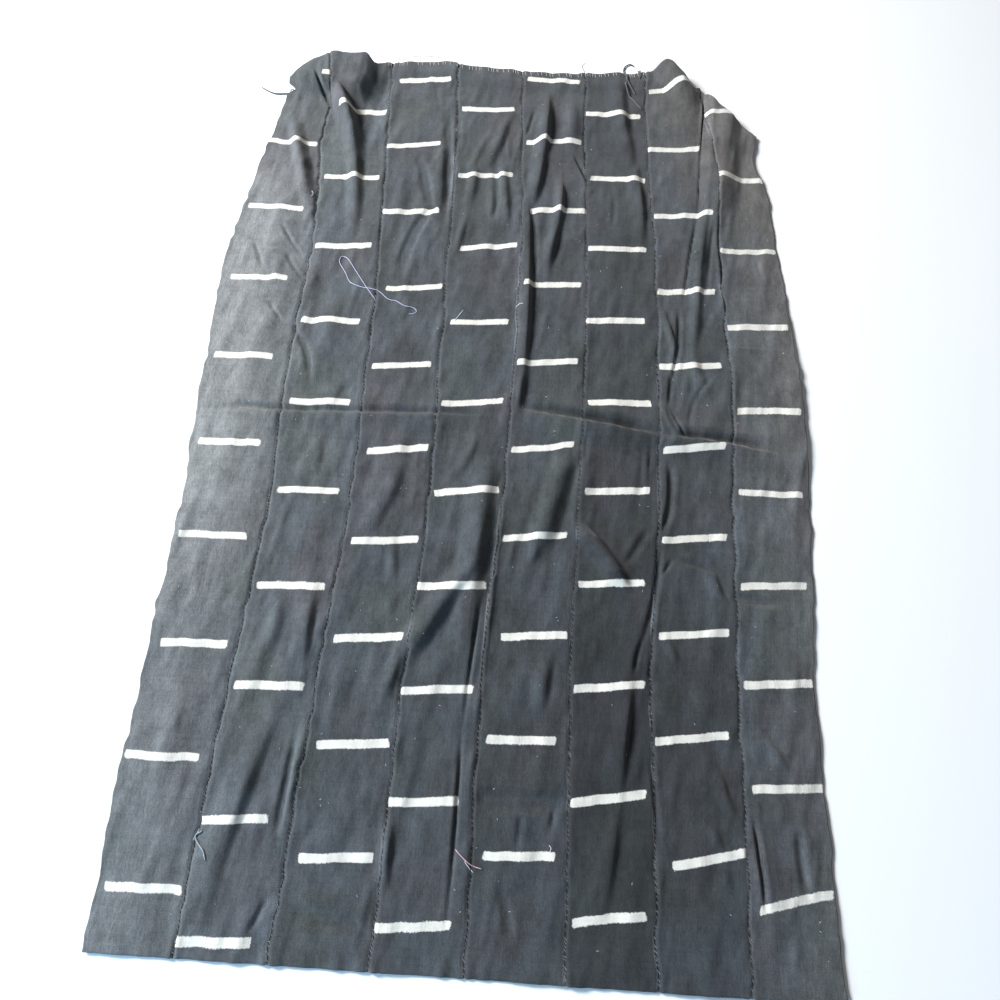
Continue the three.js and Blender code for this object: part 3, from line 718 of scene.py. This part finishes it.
def meshFromGrid(name, points, attributes, uv, material):
    # points is rows by columns by 3; attributes are rows by columns
    rows, columns = points.shape[:2]
    index = np.arange(rows * columns).reshape(rows, columns)
    quads = np.stack([index[:-1, :-1], index[1:, :-1], index[1:, 1:], index[:-1, 1:]], -1).reshape(-1, 4)
    mesh = bpy.data.meshes.new(name)
    mesh.vertices.add(rows * columns)
    mesh.vertices.foreach_set("co", points.reshape(-1))
    mesh.loops.add(quads.size)
    mesh.loops.foreach_set("vertex_index", quads.reshape(-1))
    mesh.polygons.add(len(quads))
    mesh.polygons.foreach_set("loop_start", np.arange(0, quads.size, 4))
    mesh.update(calc_edges=True)
    mesh.validate()
    for key, values in attributes.items():
        layer = mesh.attributes.new(key, "FLOAT", "POINT")
        layer.data.foreach_set("value", values.reshape(-1).astype(np.float32))
    layer = mesh.uv_layers.new(name="sheet")
    layer.data.foreach_set("uv", uv.reshape(-1, 2)[quads.reshape(-1)].reshape(-1).astype(np.float32))
    mesh.polygons.foreach_set("use_smooth", np.ones(len(quads), bool))
    mesh.materials.append(material)
    shown = bpy.data.objects.new(name, mesh)
    bpy.context.scene.collection.objects.link(shown)
    return shown


def toMetres(across, down, height):
    return np.stack([(across - sheet["middle"][0]) * mm, (-down - sheet["middle"][1]) * mm, height * mm], -1)


# How strongly the painted window glare lightens the left strips and the painted warm haze the right ones, by
# distance down, and from where across.
fade = {
    "down": [0, 200, 380, 950, 1180, 1600], "left": [0.05, 0.22, 0.80, 0.95, 0.42, 0.45],
    "leftFrom": -352.0, "leftReach": 120.0, "rightFrom": [180, 230, 360, 395, 395, 395], "rightReach": 130.0,
    "right": [0.7, 0.75, 0.75, 0.4, 0.25, 0.2],
}
# How strongly each strip took the dye, and how much darker the cloth turns towards a spot low on the right of
# the middle.
dyeLots = [0.93, 1.06, 0.87, 0.80, 0.76, 0.60, 0.84, 1.20]
pool = {"across": 260.0, "down": 1330.0, "wide": 330.0, "long": 640.0, "depth": 0.40}
# Distances that keep dashes off the turned-under layer and a seam's line off a selvedge, and the step
# that sets the yarns of one strip apart from the next.
stripFinish = {"noDash": 60.0, "noSeam": 99.0, "yarnShift": 0.31}


# each strip's dye lot, darker towards a spot low on the right of the middle
def dyeOf(k, across, down):
    away = np.hypot((across - pool["across"]) / pool["wide"], (down - pool["down"]) / pool["long"])
    return dyeLots[k] * (1 - pool["depth"] * halfCosine(away))


def makeStrip(k, material):
    share = np.linspace(0, 1, sheet["columns"] + 1)
    turn = 2 * math.pi
    share = share - sheet["seamFine"] * np.sin(turn * share) / turn
    across, down, height = sheetGrid(k + share)
    inset = sheet["gap"] * (0.5 - share)
    points = toMetres(across + inset, down, height)
    turned = np.zeros(across.shape)
    turned[:sheet["underRows"]] = stripFinish["noDash"]
    leftSeam = share * sheet["stripWidth"] + (stripFinish["noSeam"] if k == 0 else 0)
    rightSeam = (1 - share) * sheet["stripWidth"] + (stripFinish["noSeam"] if k == stripCount - 1 else 0)
    # masks of the painted window glare on the left and the painted warm haze on the right
    leftward = np.clip((fade["leftFrom"] - across) / fade["leftReach"], 0, 1)
    rightFrom = np.interp(down, fade["down"], fade["rightFrom"])
    rightward = np.clip((across - rightFrom) / fade["rightReach"], 0, 1)
    attributes = {
        "dash": dashDistance(k, across, down) + turned,
        "leftSeam": np.broadcast_to(leftSeam, across.shape) + 0.0,
        "rightSeam": np.broadcast_to(rightSeam, across.shape) + 0.0,
        "leftGlare": leftward * np.interp(down, fade["down"], fade["left"]),
        "rightHaze": rightward * np.interp(down, fade["down"], fade["right"]),
        "dye": dyeOf(k, across, down),
    }
    u = np.broadcast_to(share * sheet["stripWidth"] * mm + stripFinish["yarnShift"] * k, across.shape)
    uv = np.stack([u, down * mm], -1)
    shown = meshFromGrid(stripNames[k].replace("strip", "cloth"), points, attributes, uv, material)
    solid = shown.modifiers.new("thickness", "SOLIDIFY")
    solid.thickness = sheet["shownThickness"] * mm
    solid.offset = 0.0
    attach(shown, "root")
    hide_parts(stripNames[k])


cottonMaterial = clothMaterial(clothFinish)
for k in range(stripCount):
    makeStrip(k, cottonMaterial)
print("eight strips are laid")

# Sewing

stitchSettings = {
    "seamPitch": 6.4, "pitchSpread": (0.5, 1.6), "spare": 1.3, "start": 8.0, "end": 4.0,
    "seamReach": 2.1, "reachSpread": (0.6, 1.25), "seamSlant": (1.0, 3.2), "seamSteps": 5,
    "seamRadius": 0.36, "seamArch": 0.7, "seamDrop": 0.5,
}
# Stitches over the top edge: from and to count strips from the left, and some have worn away.
hemSettings = {
    "pitch": 4.8, "length": 9.0, "slant": 2.2, "radius": 0.5, "from": 1.95, "to": 6.0, "waver": 0.012,
    "left": 0.62, "steps": 4,
}
lintSettings = {
    "count": 170, "length": (1.2, 4.2), "radius": 0.27, "kink": 0.8, "across": (0.1, 7.9), "down": (90, 1560),
}
threadFinish = {
    "rough": 0.9, "sheen": 0.3, "twistScale": 900.0, "twistRange": (0.35, 0.65), "bump": 0.5,
    "bumpDepth": 0.0002, "shade": 0.7, "tip": 0.55,
}

# Loose ends and threads on the cloth: colour, radius, and routes of across and down from the top line.
looseThreads = {
    "violet_thread": ((0.62, 0.60, 0.82), 0.55, [
        [(-241, 562), (-264, 532), (-286, 500), (-302, 478), (-314, 471), (-317, 484), (-304, 505),
         (-292, 526), (-273, 535), (-256, 538), (-237, 543), (-221, 556), (-205, 560), (-189, 569),
         (-173, 571), (-167, 578), (-172, 583), (-180, 584)],
    ]),
    "pink_thread": ((0.78, 0.42, 0.52), 0.6, [[(-28, 1436), (-15, 1447), (-3, 1455), (11, 1459)]]),
    "white_thread": ((0.85, 0.84, 0.82), 0.45, [
        [(-14, 1450), (-7, 1458), (-1, 1464)], [(-97, 595), (-91, 585), (-83, 572)],
        [(9, 560), (16, 557), (23, 558)], [(102, 1423), (105, 1427), (103, 1432)],
        [(-389, 332), (-386, 338), (-388, 345)],
    ]),
    "seam_yarn_ends": ((0.075, 0.078, 0.082), 1.25, [
        [(206, 24), (206, 8), (200, -10), (203, -24), (213, -31), (221, -27)],
        [(232, 14), (233, -2), (229, -16)], [(205, 14), (213, 33), (224, 52)],
        [(202, 26), (209, 52), (221, 71), (236, 92)],
        [(-532, 74), (-515, 84), (-500, 89), (-480, 88), (-462, 84)],
    ]),
    "grey_yarn_end": ((0.26, 0.30, 0.34), 1.1, [
        [(-384, 1434), (-393, 1441), (-387, 1450), (-377, 1458), (-371, 1470)], [(-389, 1432), (-395, 1447)],
    ]),
    "fine_ends": ((0.30, 0.22, 0.20), 0.38, [
        [(-264, -30), (-262, -10), (-260, 6)],
        [(-258, -14), (-240, -25), (-223, -29), (-183, -29), (-161, -16), (-143, 4)],
        [(122, -32), (115, -22), (121, -4)], [(345, 330), (350, 318), (352, 300)],
    ]),
}


def topPoint(place, down):
    # point on the cloth's upper face, in metres
    across, down, height = mainPoints(place, down)
    return toMetres(across, down, height + sheet["shownThickness"] / 2)


def threadMaterial(name, color, shade):
    material, wire = startMaterial(name)
    place = wire.node("ShaderNodeTexCoord", output=3)
    twist = wire.node("ShaderNodeTexNoise", {},
                      {"Vector": place, "Scale": threadFinish["twistScale"], "Detail": 2.0})
    bump = wire.node("ShaderNodeBump", {}, {"Strength": threadFinish["bump"],
                                            "Distance": threadFinish["bumpDepth"], "Height": twist})
    twisted = twist.soft(*threadFinish["twistRange"]).mixed((*shade, 1), (*color, 1))
    endMaterial(wire, {"Roughness": threadFinish["rough"], "Sheen Weight": threadFinish["sheen"]},
                {"Base Color": twisted, "Normal": bump})
    return material


def threadPiece(name, paths, radius, material, sides=5):
    # round threads through the points of each path, in one mesh
    vertices, faces = [], []
    for path in paths:
        path = np.asarray(path, float)
        ahead = np.gradient(path, axis=0)
        ahead /= np.linalg.norm(ahead, axis=1)[:, None] + 1e-12
        side = np.cross(ahead, (0, 0, 1.0))
        side /= np.linalg.norm(side, axis=1)[:, None] + 1e-12
        up = np.cross(side, ahead)
        start = len(vertices)
        for i in range(len(path)):
            size = radius * (threadFinish["tip"] if i in (0, len(path) - 1) else 1.0)
            for s in range(sides):
                angle = 2 * math.pi * s / sides
                vertices.append(path[i] + size * (math.cos(angle) * side[i] + math.sin(angle) * up[i]))
        for i in range(len(path) - 1):
            for s in range(sides):
                a = start + i * sides + s
                b = start + i * sides + (s + 1) % sides
                faces.append((a, b, b + sides, a + sides))
        faces.append(tuple(start + s for s in reversed(range(sides))))
        faces.append(tuple(start + (len(path) - 1) * sides + s for s in range(sides)))
    mesh = bpy.data.meshes.new(name)
    mesh.from_pydata(vertices, [], faces)
    mesh.polygons.foreach_set("use_smooth", np.ones(len(faces), bool))
    mesh.materials.append(material)
    shown = bpy.data.objects.new(name, mesh)
    bpy.context.scene.collection.objects.link(shown)
    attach(shown, "root")


def seamStitches(k):
    # short slanted stitches across seam k, uneven in pitch and reach
    settings = stitchSettings
    random = np.random.default_rng(seeds["seams"] + k)
    count = int(settings["spare"] * sheet["length"] / settings["seamPitch"])
    pitches = settings["seamPitch"] * random.uniform(*settings["pitchSpread"], count)
    down = float(topOf(lines[k][0])) + settings["start"] + np.cumsum(pitches)
    down = down[down < sheet["length"] - settings["end"]][:, None]
    reach = settings["seamReach"] * random.uniform(*settings["reachSpread"], down.shape)
    slant = random.uniform(*settings["seamSlant"], down.shape)
    steps = np.linspace(-1, 1, settings["seamSteps"])[None, :]
    points = topPoint(k + steps * reach / sheet["stripWidth"], down + slant * steps)
    points[:, :, 2] += (settings["seamDrop"] - settings["seamArch"] * steps ** 2) * mm
    return points


def hemStitches(settings):
    # slanted stitches over the folded top edge
    random = np.random.default_rng(seeds["hem"])
    count = int((settings["to"] - settings["from"]) * sheet["stripWidth"] / settings["pitch"])
    place = np.linspace(settings["from"], settings["to"], count)
    place = place + settings["waver"] * random.uniform(-1, 1, count)
    place = place[random.random(count) < settings["left"]][:, None]
    steps = np.linspace(0, 1, settings["steps"])[None, :]
    down = topOf(acrossAt(place, 0)) + settings["length"] * steps
    points = topPoint(place + settings["slant"] * (steps - 0.5) / sheet["stripWidth"], down)
    points[:, :, 2] += settings["radius"] * mm * (1 - 2 * np.abs(steps - 0.5))
    return points


def placeOf(across, down):
    # place on the sheet, counted in strips from the left selvedge
    edges = np.stack([lineAt(k, down) for k in range(stripCount + 1)])
    strip = np.clip((edges <= across).sum(0) - 1, 0, stripCount - 1)
    left = np.take_along_axis(edges, strip[None], 0)[0]
    right = np.take_along_axis(edges, strip[None] + 1, 0)[0]
    return strip + (across - left) / (right - left)


def clothTop(across, down):
    # height of the cloth's upper face, or of the floor beside it
    place = placeOf(across, down)
    height = mainPoints(np.clip(place, 0, stripCount), down)[2] + sheet["shownThickness"] / 2
    return np.where((down < topOf(across)) | (place < 0) | (place > stripCount), 0.0, height)


def laidRoute(points, radius, steps=6):
    # a smooth route through the points, laid on what is under it
    points = np.array(points, float)
    knots = np.arange(len(points))
    fine = np.linspace(0, len(points) - 1, (len(points) - 1) * steps + 1)
    slopes = np.gradient(points, axis=0)
    i = np.minimum(fine.astype(int), len(points) - 2)
    u = (fine - knots[i])[:, None]
    route = (points[i] * (1 + 2 * u) * (1 - u) ** 2 + points[i + 1] * u ** 2 * (3 - 2 * u)
             + slopes[i] * u * (1 - u) ** 2 - slopes[i + 1] * u ** 2 * (1 - u))
    height = clothTop(route[:, 0], route[:, 1]) + radius
    # a thread bridges small dips: each point takes the highest of its near ones
    held = np.pad(height, 2, mode="edge")
    height = np.max([held[s:s + len(height)] for s in range(5)], axis=0)
    return toMetres(route[:, 0], route[:, 1], height)


def lintFibres(settings):
    random = np.random.default_rng(seeds["lint"])
    routes = []
    for _ in range(settings["count"]):
        place = random.uniform(*settings["across"])
        down = random.uniform(*settings["down"])
        across = float(acrossAt(np.array([place]), np.array([down]))[0])
        size = random.uniform(*settings["length"])
        angle = random.uniform(0, 2 * math.pi)
        kink = settings["kink"] * random.uniform(-1, 1)
        ends = [(across + t * size * math.cos(angle + kink * t), down + t * size * math.sin(angle + kink * t))
                for t in (-0.5, 0.0, 0.5)]
        ends = np.array(ends)
        routes.append(toMetres(ends[:, 0], ends[:, 1], clothTop(ends[:, 0], ends[:, 1]) + settings["radius"]))
    return routes


darkThread = threadMaterial("seamThread", (0.34, 0.34, 0.35), (0.06, 0.062, 0.066))
for k in range(1, stripCount):
    threadPiece("seam_stitches_%d" % k, seamStitches(k), stitchSettings["seamRadius"] * mm, darkThread)
hemThread = threadMaterial("hemThread", (0.62, 0.50, 0.46), (0.30, 0.22, 0.21))
threadPiece("hem_stitches", hemStitches(hemSettings), hemSettings["radius"] * mm, hemThread)
print("seams and hem are sewn")

for name, (color, radius, routes) in looseThreads.items():
    shade = tuple(threadFinish["shade"] * part for part in color)
    laid = [laidRoute(route, radius) for route in routes]
    threadPiece(name, laid, radius * mm, threadMaterial(name, color, shade))
lintMaterial = threadMaterial("lint", (0.80, 0.80, 0.78), (0.45, 0.45, 0.46))
threadPiece("lint", lintFibres(lintSettings), lintSettings["radius"] * mm, lintMaterial, sides=4)
print("loose threads and lint lie on the cloth")
